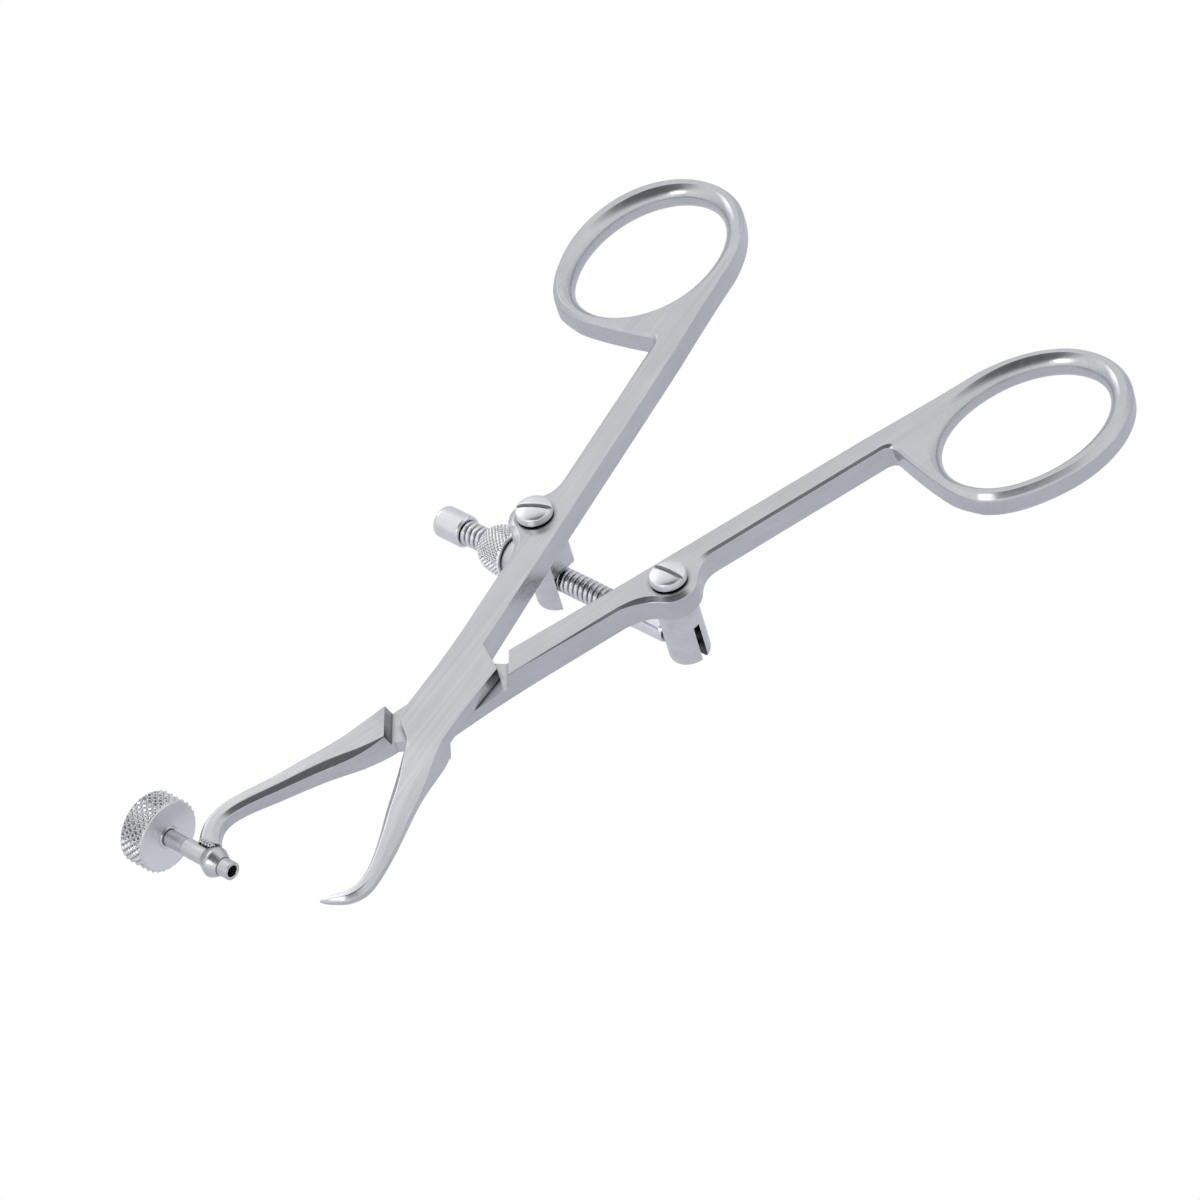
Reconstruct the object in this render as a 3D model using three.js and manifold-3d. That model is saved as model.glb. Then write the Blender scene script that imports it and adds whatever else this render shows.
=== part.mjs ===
// Bone reduction forceps with a drill guide: two lap-jointed arms with finger rings, one jaw
// ending in a point and the other in a guide bush with a sliding drill sleeve, and a threaded
// spindle lock between the handles.
// Millimetres. The origin is on the axis of the lap joint, in the plane of the arms' undersides.
// +Y runs to the finger rings, +Z to the screw heads, and +X to the guide arm's ring.
// Heights below are counted from the middle of the arms' thickness, until the whole is lifted.
import * as THREE from 'three';
import { mergeVertices } from 'three/addons/utils/BufferGeometryUtils.js';
import Module from 'manifold-3d';

const wasm = await Module();
wasm.setup();

// ---- driving dimensions ----
const ARM_THICKNESS = 4.5;
const ARM_BEVEL = { width: 0.7, height: 0.4 };
const HALF_OPENING = THREE.MathUtils.degToRad(11); // each arm, from closed to the rest pose
const LAP_GAP = 0.1; // between the sliding faces of the lap joint
const TURNING_GAP = 0.1; // round a pin, neck or screw that turns or is fitted
const RESTING_GAP = 0.3; // between pieces that only touch

// The arm is drawn closed, with the finger ring on +X and the jaw on -X.
const BOSS = { x: 7.1, y: 36.15, radius: 4.3 };
const RING = { x: 21.1, y: 92.8, semiX: 12.6, semiY: 15.75, halfWidth: 1.75 };
const NOTCH = { x: 9.8, y: 76.2 };
const SHOULDER = { angle: THREE.MathUtils.degToRad(53.5), floor: 8.6, mouth: 9.1 };

const RIVET = { radius: 2, headRadius: 2.7, headHeight: 0.7, top: 1.4 };
const SWIVEL = { neckRadius: 1.95, screwRadius: 1.2, threadDepth: 3.4 };
const SCREW_HEAD = { radius: 2.85, rim: 1.1, dome: 0.8, slotWidth: 0.75, slotDepth: 0.8 };
const SPINDLE = { z: -10.3, radius: 1.95, shoulder: 3.75, threadEnd: -32.1, studLength: 3.4, studRadius: 1.2 };
const TONGUE = { thickness: 0.9, radius: 1.8 };
const CROSS_PIN = { radius: 0.75, length: 6.1 };
const POST = { radius: 3.2, bottom: -12.8, slitWidth: 1.15, slitTop: -5.9 };
const BLOCK = { radius: 3.6, bottom: -14.5, flat: 2.8 };
const END_CAP = { radius: 2.55, length: 5.4, rounding: 0.8 };
const NUT = { collarRadius: 3.3, collarLength: 4.8, faceGap: 0.4, radius: 4, nose: 2.6, length: 5.6 };
const GUIDE_Y = -42.6;
const BUSH = { left: -9.9, right: -6.6, collar: 1.7, ball: 2.35, mouth: 1.6, bore: 1.52 };
const SLEEVE = { left: -23, reliefEnd: -14.4, right: -4.6, relief: 1.3, radius: 1.42, inKnob: 1.2, bore: 0.92 };
const KNOB = { radius: 5.8, left: -22.9, right: -17.9, chamfer: 0.5 };

const HALF = ARM_THICKNESS / 2;
const ROUND = 28; // sides of a turned piece
const SMALL_ROUND = 16; // sides of a hole, pin or stem
const swivelX = BOSS.x * Math.cos(HALF_OPENING) + BOSS.y * Math.sin(HALF_OPENING);
const swivelY = BOSS.y * Math.cos(HALF_OPENING) - BOSS.x * Math.sin(HALF_OPENING);

const steel = (color, roughness) => new THREE.MeshStandardMaterial({ color, roughness, metalness: 1 });
const brushed = steel(0xb4b7bb, 0.42);
const turned = steel(0xc2c4c8, 0.28);
const polished = steel(0xd0d2d5, 0.16);

// ---- booleans ----
// Triangles whose three corners differ: a turned form has flattened ones on its axis.
function wholeTriangles(index) {
  const kept = [];
  for (let i = 0; i < index.length; i += 3) {
    const [a, b, c] = index.slice(i, i + 3);
    if (a !== b && b !== c && c !== a) kept.push(a, b, c);
  }
  return kept;
}

function solid(geometry) {
  const bare = geometry.clone();
  bare.deleteAttribute('normal');
  bare.deleteAttribute('uv');
  const merged = mergeVertices(bare, 1e-4);
  const vertProperties = new Float32Array(merged.attributes.position.array);
  const triVerts = new Uint32Array(wholeTriangles(merged.index.array));
  return new wasm.Manifold(new wasm.Mesh({ numProp: 3, vertProperties, triVerts }));
}

function geometryOf(body) {
  const mesh = body.getMesh();
  const geometry = new THREE.BufferGeometry();
  geometry.setAttribute('position', new THREE.BufferAttribute(mesh.vertProperties, mesh.numProp));
  geometry.setIndex(new THREE.BufferAttribute(mesh.triVerts, 1));
  geometry.computeVertexNormals();
  return geometry;
}

// ---- basic forms ----
function box(x0, x1, y0, y1, z0, z1) {
  const geometry = new THREE.BoxGeometry(x1 - x0, y1 - y0, z1 - z0);
  return geometry.translate((x0 + x1) / 2, (y0 + y1) / 2, (z0 + z1) / 2);
}

// A turned form on the Z axis, from [radius, z] points.
function turnedOnZ(points, sides = ROUND) {
  const profile = points.map(([radius, z]) => new THREE.Vector2(radius, z));
  return new THREE.LatheGeometry(profile, sides).rotateX(Math.PI / 2);
}

// A turned form on the X axis, from [radius, x] points.
function turnedOnX(points, sides = ROUND) {
  const profile = points.map(([radius, x]) => new THREE.Vector2(radius, x));
  return new THREE.LatheGeometry(profile, sides).rotateZ(-Math.PI / 2);
}

function rodOnZ(radius, z0, z1, sides = SMALL_ROUND) {
  return turnedOnZ([[0, z0], [radius, z0], [radius, z1], [0, z1]], sides);
}

function rodOnX(radius, x0, x1, sides = SMALL_ROUND) {
  return turnedOnX([[0, x0], [radius, x0], [radius, x1], [0, x1]], sides);
}

function rodOnY(radius, length) {
  return new THREE.CylinderGeometry(radius, radius, length, SMALL_ROUND);
}

// Points of a quarter ellipse from (r0, h0) to (r1, h1), bulging outwards.
function rounded(r0, h0, r1, h1, steps = 4) {
  const points = [];
  for (let i = 0; i <= steps; i += 1) {
    const a = (i / steps) * (Math.PI / 2);
    points.push([r1 + (r0 - r1) * Math.cos(a), h0 + (h1 - h0) * Math.sin(a)]);
  }
  return points;
}

// ---- arms, drawn in the closed position ----
// The two steps lie just inside the other arm's shoulders when the forceps is closed.
function armOutline() {
  const bossFrom = 0.95;
  const bossTo = -1.01;
  const onBoss = (a) => [BOSS.x + BOSS.radius * Math.cos(a), BOSS.y + BOSS.radius * Math.sin(a)];
  const shape = new THREE.Shape();
  shape.moveTo(0.15, 10.15);
  shape.lineTo(2.1, 32);
  shape.lineTo(5.2, 74);
  shape.lineTo(6.6, 88);
  shape.absellipse(RING.x, RING.y, RING.semiX, RING.semiY, 3.46, 4.36, false);
  shape.lineTo(16.4, NOTCH.y - 0.2);
  shape.lineTo(NOTCH.x, NOTCH.y);
  shape.lineTo(7.4, 44.5);
  shape.quadraticCurveTo(7.3, 41.6, ...onBoss(bossFrom));
  shape.absarc(BOSS.x, BOSS.y, BOSS.radius, bossFrom, bossTo, true);
  shape.quadraticCurveTo(7.1, 31, 6.2, 27.5);
  shape.lineTo(4.7, 11);
  shape.lineTo(4.4, 4);
  shape.lineTo(4.4, -7.1);
  shape.lineTo(0.5, -10.15);
  shape.lineTo(-0.9, -14);
  shape.lineTo(-5, -14);
  shape.lineTo(-4.7, -9);
  shape.lineTo(-4.5, -2);
  shape.lineTo(-4.7, 6.35);
  return shape;
}

function armPlate() {
  const { width, height } = ARM_BEVEL;
  return new THREE.ExtrudeGeometry(armOutline(), {
    depth: ARM_THICKNESS - 2 * height,
    bevelThickness: height,
    bevelSize: width,
    bevelOffset: -width,
    bevelSegments: 1,
    curveSegments: 10,
  }).translate(0, 0, height - HALF);
}

// The finger ring: a round ring with a softly rounded bore, bent to an ellipse.
function fingerRing() {
  const w = RING.halfWidth;
  const section = [[w, -HALF + 0.5], [w, HALF - 0.5], [w - 0.6, HALF - 0.02], [0, HALF - 0.02]];
  section.push([-w + 0.6, HALF * 0.75], [-w, HALF * 0.3]);
  section.push([-w, -HALF * 0.3], [-w + 0.6, -HALF * 0.75], [0, 0.02 - HALF], [w - 0.6, 0.02 - HALF]);
  section.push(section[0]);
  const middle = 14;
  const ring = turnedOnZ(section.map(([r, z]) => [middle + r, z]), 44);
  const position = ring.attributes.position;
  for (let i = 0; i < position.count; i += 1) {
    const x = position.getX(i);
    const y = position.getY(i);
    const a = Math.atan2(y, x);
    const offset = Math.hypot(x, y) - middle;
    const normal = new THREE.Vector2(Math.cos(a) / RING.semiX, Math.sin(a) / RING.semiY).normalize();
    position.setX(i, RING.x + RING.semiX * Math.cos(a) + offset * normal.x);
    position.setY(i, RING.y + RING.semiY * Math.sin(a) + offset * normal.y);
  }
  return ring;
}

// A tapering eight-sided bar through stations [x, y, width, half height].
function jawBar(stations) {
  const sides = 8;
  const steps = 18;
  const flat = 1 / Math.cos(Math.PI / sides);
  const path = new THREE.CatmullRomCurve3(stations.map(([x, y]) => new THREE.Vector3(x, y, 0)));
  const sizes = new THREE.SplineCurve(stations.map(([, , w, h]) => new THREE.Vector2(w / 2, h)));
  const bar = new THREE.CylinderGeometry(1, 1, 1, sides, steps);
  const position = bar.attributes.position;
  for (let i = 0; i < position.count; i += 1) {
    const t = Math.min(1, Math.max(0, position.getY(i) + 0.5));
    const reach = Math.hypot(position.getX(i), position.getZ(i));
    const a = Math.atan2(position.getZ(i), position.getX(i)) + Math.PI / sides;
    const centre = path.getPoint(t);
    const along = path.getTangent(t);
    const size = sizes.getPoint(t);
    const across = reach * flat * size.x * Math.cos(a);
    const up = reach * flat * size.y * Math.sin(a);
    position.setXYZ(i, centre.x + across * along.y, centre.y - across * along.x, up);
  }
  return bar;
}

const POINT_JAW = [
  [-2.9, -11, 4.9, 2.2], [-3.6, -16, 4.6, 2.05], [-5, -22.5, 3.6, 1.8], [-6.8, -28.5, 2.8, 1.55],
  [-8, -33.5, 2.2, 1.3], [-8, -36.8, 1.9, 1.15], [-6.8, -39.2, 1.6, 0.95],
  [-5, -40.6, 1.2, 0.7], [-3.4, -41.6, 0.3, 0.15],
];
const GUIDE_JAW = [
  [-2.2, -11, 4.7, 2.2], [-2.4, -16, 5, 2.1], [-3.9, -22.5, 3.9, 1.9], [-5.1, -28.5, 3.1, 1.7],
  [-6.3, -33.5, 2.8, 1.55], [-6.6, -36.8, 2.8, 1.45], [-5.9, -39.2, 2.8, 1.4],
  [-4.4, -41.1, 3, 1.3], [-2.6, -42.4, 3.2, 1.2],
];

// The recess that takes the other arm's lap half, with slanting shoulders.
function lapRecess() {
  const { floor, mouth, angle } = SHOULDER;
  const floorZ = -LAP_GAP / 2;
  const topZ = HALF + 1;
  const flare = (mouth - floor) * (topZ / HALF);
  const profile = new THREE.Shape();
  profile.moveTo(-floor, floorZ);
  profile.lineTo(floor, floorZ);
  profile.lineTo(floor + flare, topZ);
  profile.lineTo(-floor - flare, topZ);
  const length = 40;
  const strip = new THREE.ExtrudeGeometry(profile, { depth: length, bevelEnabled: false });
  return strip.translate(0, 0, -length / 2).rotateX(Math.PI / 2).rotateZ(angle);
}

function arm(jaw) {
  const boss = rodOnZ(SWIVEL.neckRadius + TURNING_GAP, -5, 5).translate(BOSS.x, BOSS.y, 0);
  return solid(armPlate())
    .add(solid(fingerRing()))
    .add(solid(jawBar(jaw)))
    .subtract(solid(lapRecess()))
    .subtract(solid(boss));
}

// The point arm is the same forging turned over, so its rivet hole is cut from its own lap face.
function pointArm() {
  const hole = rodOnZ(RIVET.radius + TURNING_GAP, -RIVET.top - TURNING_GAP, 1);
  return arm(POINT_JAW).subtract(solid(hole));
}

// The jaw's end is hollowed to sit round the bush.
function guideArm() {
  const hole = turnedOnZ(rivetProfile(TURNING_GAP));
  const mouth = rodOnZ(RIVET.headRadius + TURNING_GAP, -HALF - 1, -HALF + 0.01, ROUND);
  const seat = rodOnX(BUSH.ball + TURNING_GAP, BUSH.left - 4, BUSH.right + 4)
    .translate(0, GUIDE_Y, 0)
    .rotateZ(HALF_OPENING);
  return arm(GUIDE_JAW).subtract(solid(hole)).subtract(solid(mouth)).subtract(solid(seat));
}

// ---- lap joint rivet ----
// Its countersunk head is ground flush with the guide arm's underside. With a gap it is the hole.
function rivetProfile(gap) {
  const { radius, headRadius, headHeight, top } = RIVET;
  return [
    [0, -HALF], [headRadius + gap, -HALF], [radius + gap, headHeight - HALF],
    [radius + gap, top + gap], [0, top + gap],
  ];
}

// ---- swivelling pieces under the handles ----
// Both hang from a boss by a neck, and the screw in the neck's top holds them there.
function swivelBody({ radius, bottom }) {
  const top = -HALF - TURNING_GAP;
  const neckTop = HALF + TURNING_GAP;
  const { neckRadius, screwRadius, threadDepth } = SWIVEL;
  const body = turnedOnZ([
    [0, bottom], [radius - 0.3, bottom], [radius, bottom + 0.3], [radius, top],
    [neckRadius, top], [neckRadius, neckTop], [0, neckTop],
  ]);
  const hole = rodOnZ(screwRadius + TURNING_GAP, neckTop - 2 * HALF - threadDepth, 5);
  return solid(body).subtract(solid(hole));
}

function lockBlock() {
  const side = 2 * BLOCK.radius;
  const reach = SPINDLE.radius + RESTING_GAP;
  const top = -HALF - 1;
  let block = swivelBody(BLOCK);
  block = block.subtract(solid(box(BLOCK.flat, side, -side, side, BLOCK.bottom - 1, top)));
  block = block.subtract(solid(box(-side, -BLOCK.flat, -side, side, BLOCK.bottom - 1, top)));
  return block.subtract(solid(box(-side, side, -reach, side, BLOCK.bottom - 1, SPINDLE.z + reach)));
}

function spindlePost() {
  const side = 2 * POST.radius;
  const half = POST.slitWidth / 2;
  const slit = box(-side, side, -half, half, POST.bottom - 1, POST.slitTop);
  const pinHole = rodOnY(CROSS_PIN.radius + TURNING_GAP / 2, side).translate(0, 0, SPINDLE.z);
  return swivelBody(POST).subtract(solid(slit)).subtract(solid(pinHole));
}

function swivelScrew(slotAngle) {
  const { radius, rim, dome, slotWidth, slotDepth } = SCREW_HEAD;
  const seat = HALF + 2 * TURNING_GAP;
  const top = seat + rim + dome;
  const { screwRadius, threadDepth } = SWIVEL;
  const profile = [[0, -HALF - threadDepth + 0.5], [screwRadius, -HALF - threadDepth + 0.5]];
  profile.push([screwRadius, seat], [radius, seat]);
  profile.push(...rounded(radius, seat + rim, 0, top));
  const slot = box(-5, 5, -slotWidth / 2, slotWidth / 2, top - slotDepth, top + 1).rotateZ(slotAngle);
  return solid(turnedOnZ(profile, 24)).subtract(solid(slot));
}

// ---- spindle lock, drawn with the cross pin at x = 0 ----
function threadedSpindle() {
  const { radius, shoulder, threadEnd, studLength, studRadius } = SPINDLE;
  const end = threadEnd - swivelX;
  const thread = turnedOnX([
    [0, end - studLength], [studRadius, end - studLength], [studRadius, end], [radius, end],
    [radius, -shoulder - 0.4], [TONGUE.radius, -shoulder], [0, -shoulder],
  ], 24);
  const blade = new THREE.Shape();
  blade.moveTo(-shoulder - 1, -TONGUE.radius);
  blade.absarc(0, 0, TONGUE.radius, -Math.PI / 2, Math.PI / 2, false);
  blade.lineTo(-shoulder - 1, TONGUE.radius);
  const tongue = new THREE.ExtrudeGeometry(blade, { depth: TONGUE.thickness, bevelEnabled: false });
  tongue.translate(0, 0, -TONGUE.thickness / 2).rotateX(Math.PI / 2);
  const pinHole = rodOnY(CROSS_PIN.radius + TURNING_GAP / 2, 4);
  return solid(thread).add(solid(tongue)).subtract(solid(pinHole));
}

function endCap() {
  const { radius, length, rounding } = END_CAP;
  const mouth = SPINDLE.threadEnd - swivelX - TURNING_GAP;
  const end = mouth - length;
  const socket = SPINDLE.studLength + 2 * TURNING_GAP;
  const bore = SPINDLE.studRadius + TURNING_GAP;
  return turnedOnX([
    [0, end], ...rounded(radius, end + rounding, radius - rounding, end).reverse(),
    [radius, mouth], [bore, mouth], [bore, mouth - socket], [0, mouth - socket],
  ]);
}

const blockFace = -2 * swivelX - BLOCK.flat;
const collarEnd = blockFace - NUT.faceGap - NUT.collarLength;

function nutCollar() {
  const face = blockFace - NUT.faceGap;
  const bore = SPINDLE.radius + TURNING_GAP;
  const { collarRadius } = NUT;
  return turnedOnX([
    [bore, collarEnd], [collarRadius, collarEnd], [collarRadius, face - 0.4],
    [collarRadius - 0.4, face], [bore, face], [bore, collarEnd],
  ]);
}

function knurledNut() {
  const bore = SPINDLE.radius + TURNING_GAP;
  const right = collarEnd - RESTING_GAP / 2;
  const left = right - NUT.length;
  const { radius, nose, length } = NUT;
  return turnedOnX([
    [bore, left], [nose, left], [radius - 0.5, left + 0.25 * length], [radius - 0.1, left + 0.5 * length],
    [radius, left + 0.7 * length], [radius, right - 0.2], [radius - 0.2, right], [bore, right], [bore, left],
  ]);
}

// ---- drill guide ----
function guideBush() {
  const { left, right, collar, ball, mouth, bore } = BUSH;
  return turnedOnX([
    [bore, left], [collar, left], [ball, left + 1.5], [ball, left + 1.9],
    [mouth, right - 0.2], [mouth, right], [bore, right], [bore, left],
  ]);
}

function drillSleeve() {
  const { left, reliefEnd, right, relief, radius, inKnob, bore } = SLEEVE;
  return turnedOnX([
    [bore, left], [inKnob, left], [inKnob, KNOB.right], [relief, KNOB.right], [relief, reliefEnd],
    [radius, reliefEnd + 0.2], [radius, right - 0.2], [radius - 0.2, right], [bore, right], [bore, left],
  ], 24);
}

function sleeveKnob() {
  const { radius, left, right, chamfer } = KNOB;
  const bore = SLEEVE.inKnob + TURNING_GAP;
  const end = right - TURNING_GAP;
  return turnedOnX([
    [bore, left], [radius - chamfer, left], [radius, left + chamfer], [radius, end - chamfer],
    [radius - chamfer, end], [bore, end], [bore, left],
  ], 40);
}

// ---- assembly ----
function mesh(name, form, material) {
  const geometry = form.isBufferGeometry ? form : geometryOf(form);
  const item = new THREE.Mesh(geometry, material);
  item.name = name;
  return item;
}

function at(x, y, z, ...meshes) {
  const group = new THREE.Group();
  group.position.set(x, y, z);
  group.add(...meshes);
  return group;
}

const pointSide = new THREE.Group();
pointSide.rotation.set(0, Math.PI, -HALF_OPENING);
pointSide.add(mesh('point_arm', pointArm(), brushed));

const guideSide = new THREE.Group();
guideSide.rotation.z = -HALF_OPENING;
guideSide.add(mesh('guide_arm', guideArm(), brushed));

const forceps = new THREE.Group();
forceps.position.z = HALF;
forceps.add(
  pointSide,
  guideSide,
  mesh('joint_rivet', turnedOnZ(rivetProfile(0)), brushed),
  at(-swivelX, swivelY, 0,
    mesh('lock_block', lockBlock(), turned),
    mesh('lock_block_screw', swivelScrew(THREE.MathUtils.degToRad(27)), polished)),
  at(swivelX, swivelY, 0,
    mesh('spindle_post', spindlePost(), turned),
    mesh('spindle_post_screw', swivelScrew(THREE.MathUtils.degToRad(3)), polished)),
  at(swivelX, swivelY, SPINDLE.z,
    mesh('spindle_cross_pin', rodOnY(CROSS_PIN.radius, CROSS_PIN.length), polished),
    mesh('threaded_spindle', threadedSpindle(), polished),
    mesh('spindle_end_cap', endCap(), polished),
    mesh('nut_collar', nutCollar(), turned),
    mesh('knurled_nut', knurledNut(), turned)),
  at(0, GUIDE_Y, 0,
    mesh('guide_bush', guideBush(), turned),
    mesh('drill_sleeve', drillSleeve(), turned),
    mesh('sleeve_knob', sleeveKnob(), turned)),
);

export default forceps;
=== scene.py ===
"""Bone reduction forceps with drill guide and spindle lock: the fine meshes, their steels and the
studio. Shapes are drawn in millimetres, and piece() turns them into metres in the CAD frame."""

import math

import bmesh
import bpy
from mathutils import Matrix, Quaternion, Vector
from mathutils.geometry import tessellate_polygon


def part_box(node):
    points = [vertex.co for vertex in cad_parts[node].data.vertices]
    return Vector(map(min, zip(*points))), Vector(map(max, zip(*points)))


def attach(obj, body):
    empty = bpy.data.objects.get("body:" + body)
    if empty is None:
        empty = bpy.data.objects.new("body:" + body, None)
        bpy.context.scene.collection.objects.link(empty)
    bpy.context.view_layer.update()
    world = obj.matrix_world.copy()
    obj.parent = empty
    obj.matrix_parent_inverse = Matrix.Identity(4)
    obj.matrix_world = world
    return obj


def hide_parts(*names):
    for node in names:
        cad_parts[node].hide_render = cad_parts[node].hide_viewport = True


MM = 0.001

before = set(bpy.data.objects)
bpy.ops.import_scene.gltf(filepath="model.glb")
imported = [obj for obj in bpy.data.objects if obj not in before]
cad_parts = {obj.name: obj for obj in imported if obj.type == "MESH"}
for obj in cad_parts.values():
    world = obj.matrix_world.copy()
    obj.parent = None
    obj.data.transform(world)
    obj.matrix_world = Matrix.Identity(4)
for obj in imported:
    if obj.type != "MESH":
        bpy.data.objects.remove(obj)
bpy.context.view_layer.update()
arm_low, arm_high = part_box("guide_arm")
MIDDLE = Vector((0, 0, (arm_low.z + arm_high.z) / 2))


# ---- places taken from the frame, in millimetres, with heights from the arms' middle plane ----
def span(node):
    low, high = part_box(node)
    return (low - MIDDLE) / MM, (high - MIDDLE) / MM


def centre(node):
    low, high = span(node)
    return (low + high) / 2


def half_size(node):
    low, high = span(node)
    return (high - low) / 2


# ---- driving dimensions ----
HALF_OPENING = math.radians(11)
ARM_HALF = half_size("guide_arm").z
SWIVEL_Y = centre("spindle_post").y
SPINDLE_Z = centre("threaded_spindle").z
GUIDE_Y = centre("drill_sleeve").y

# Bevels along the arm's edge as (inset, drop, softness).
HANDLE_BEVEL = (0.45, 0.32, 0.04)
CROSSING_BEVEL = (0.1, 0.08, 0.02)
BOSS_BEVEL = (0.85, 0.55, 0.1)
RING_BEVEL = (0.85, 0.95, 0.4)
BOSS = {"x": 7.1, "y": 36.15, "radius": 4.3}
RING = {"x": 21.2, "y": 92.8, "semi_x": 12.55, "semi_y": 15.75}
# The ring's outer and inner edge, as distances from its centre line at angles in degrees.
RING_SHAPE = [
    (-200, 1.12, -1.85), (-180, 1.3, -1.95), (-150, 1.5, -1.87), (-110, 1.9, -1.8), (-80, 2.1, -1.42),
    (-50, 2.2, -1.1), (-20, 1.75, -1.47), (10, 1.9, -1.67), (45, 2.0, -1.68), (90, 1.68, -1.69),
    (125, 1.55, -1.68), (160, 1.12, -1.85), (180, 1.3, -1.95), (210, 1.5, -1.87),
]
HOLE_ROUNDING = {"inset": 1.6, "drop": 2.25, "turn": math.radians(56)}
# Where the lap's shoulders stand, out from the hinge, on the jaw's side and on the handle's side.
SHOULDER = {"angle": math.radians(53.5), "jaw": (8.9, 9.55), "handle": (8.6, 9.1), "gap": 0.05}
SWIVEL = {"neck": 1.95, "bore": 2.05, "screw": 1.2, "gap": 0.1}
BLOCK = {"radius": 3.6, "flat": 2.8}
SCREW_HEAD = {"seat": ARM_HALF + 0.2, "rim": 1.1, "slot": 0.75, "slot_depth": 0.8}
SLOT_ANGLES = {"lock_block_screw": math.radians(27), "spindle_post_screw": math.radians(3)}
THREAD = {"radius": 1.95, "pitch": 1.0, "depth": 0.4, "shank": 6.0}
KNOB_KNURL = {"count": 31, "pitch": 1.18, "depth": 0.36}
NUT_KNURL = {"count": 32, "pitch": 0.78, "depth": 0.24}
SLIT = {"half": 0.575, "top": -5.9, "pin_hole": 0.756}
TONGUE = {"shoulder": -3.75, "half": 0.45, "eye": 0.8}
SLEEVE = {"bore": 0.92, "radius": 1.2, "step": 1.3, "barrel": 1.42}
# How far cutters reach, past everything they cut.
PAST = 9

# A jaw's centre line and size: [x, y, width, half height] in the closed position.
GUIDE_JAW = [
    [-2.0, -11, 5.1, 2.25], [-2.4, -16, 5.0, 2.1], [-3.9, -22.5, 3.9, 1.9], [-5.1, -28.5, 3.1, 1.7],
    [-6.3, -33.5, 2.8, 1.55], [-6.6, -36.8, 2.8, 1.45], [-5.9, -39.2, 2.8, 1.4],
    [-4.4, -41.1, 3.0, 1.3], [-2.6, -42.4, 3.2, 1.2],
]
POINT_JAW = [
    [-2.45, -11, 5.2, 2.25], [-3.75, -16, 4.55, 2.05], [-5.4, -22.5, 3.75, 1.8], [-7.15, -28.5, 2.85, 1.55],
    [-8.25, -33.5, 2.25, 1.3], [-8.4, -37.0, 2.1, 1.2], [-7.15, -39.4, 1.85, 1.0],
    [-5.0, -40.75, 1.3, 0.7], [-3.9, -41.3, 0.75, 0.42], [-3.4, -41.6, 0.2, 0.12],
]
# Bevels of a jaw as shares of its width and half height, and how soft its edges are, in mm.
GUIDE_STYLE = {"inner": (0.27, 0.38), "outer": (0.15, 0.3), "soft": 0.15}
POINT_STYLE = {"inner": (0.2, 0.34), "outer": (0.3, 0.7), "soft": 0.12}


# ---- curves ----
def catmull(points, steps):
    """Points of a smooth curve through the given ones, any number of values each."""
    last = len(points) - 1
    curve = []
    for i in range(last):
        a, b, c, d = (points[max(0, min(last, i + k))] for k in (-1, 0, 1, 2))
        for step in range(steps):
            t = step / steps
            curve.append([
                0.5 * (2 * q + (r - p) * t + (2 * p - 5 * q + 4 * r - s) * t * t
                       + (3 * q - p - 3 * r + s) * t ** 3)
                for p, q, r, s in zip(a, b, c, d)
            ])
    curve.append(list(points[-1]))
    return curve


def bend(start, control, end, steps=8):
    """A quadratic curve from start to end, both included."""
    curve = []
    for step in range(steps + 1):
        t = step / steps
        curve.append(tuple(
            (1 - t) ** 2 * p + 2 * t * (1 - t) * q + t * t * r for p, q, r in zip(start, control, end)
        ))
    return curve


def softened(points, radius, steps=3, closed=False):
    """Corners of a path cut back by radius along both sides and rounded."""
    count = len(points)
    path = []
    for i, point in enumerate(points):
        if not closed and i in (0, count - 1):
            path.append(tuple(point))
            continue
        corner = Vector(point)
        before = Vector(points[i - 1]) - corner
        after = Vector(points[(i + 1) % count]) - corner
        reach = min(radius, 0.42 * before.length, 0.42 * after.length)
        first = corner + before.normalized() * reach
        path += bend(first, corner, corner + after.normalized() * reach, steps)
    return path


def arc(x, y, radius, start, end, steps):
    angles = [start + (end - start) * i / steps for i in range(steps + 1)]
    return [(x + radius * math.cos(a), y + radius * math.sin(a)) for a in angles]


def ring_edge(side, inset, start, end, steps):
    """Points along the finger ring's outer (1) or inner (2) edge, or inset from it into the metal."""
    shape = catmull(RING_SHAPE, 6)
    points = []
    for i in range(steps + 1):
        a = start + (end - start) * i / steps
        degrees = math.degrees(a)
        k = next(k for k, row in enumerate(shape[1:]) if row[0] >= degrees)
        share = (degrees - shape[k][0]) / (shape[k + 1][0] - shape[k][0])
        offset = shape[k][side] + (shape[k + 1][side] - shape[k][side]) * share
        offset += inset if side == 2 else -inset
        normal = Vector((math.cos(a) / RING["semi_x"], math.sin(a) / RING["semi_y"])).normalized()
        points.append((
            RING["x"] + RING["semi_x"] * math.cos(a) + offset * normal.x,
            RING["y"] + RING["semi_y"] * math.sin(a) + offset * normal.y,
        ))
    return points


# ---- mesh building ----
def piece(name, points, faces, matrix=None):
    """A mesh object from millimetre points, with its faces pointing out."""
    mesh = bpy.data.meshes.new(name)
    mesh.from_pydata([Vector(p) * MM for p in points], [], faces)
    work = bmesh.new()
    work.from_mesh(mesh)
    bmesh.ops.remove_doubles(work, verts=work.verts, dist=1e-8)
    bmesh.ops.recalc_face_normals(work, faces=work.faces)
    work.to_mesh(mesh)
    work.free()
    item = bpy.data.objects.new(name, mesh)
    bpy.context.scene.collection.objects.link(item)
    item.matrix_world = Matrix.Translation(MIDDLE) @ (matrix or Matrix.Identity(4))
    bpy.context.view_layer.update()
    return item


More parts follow.
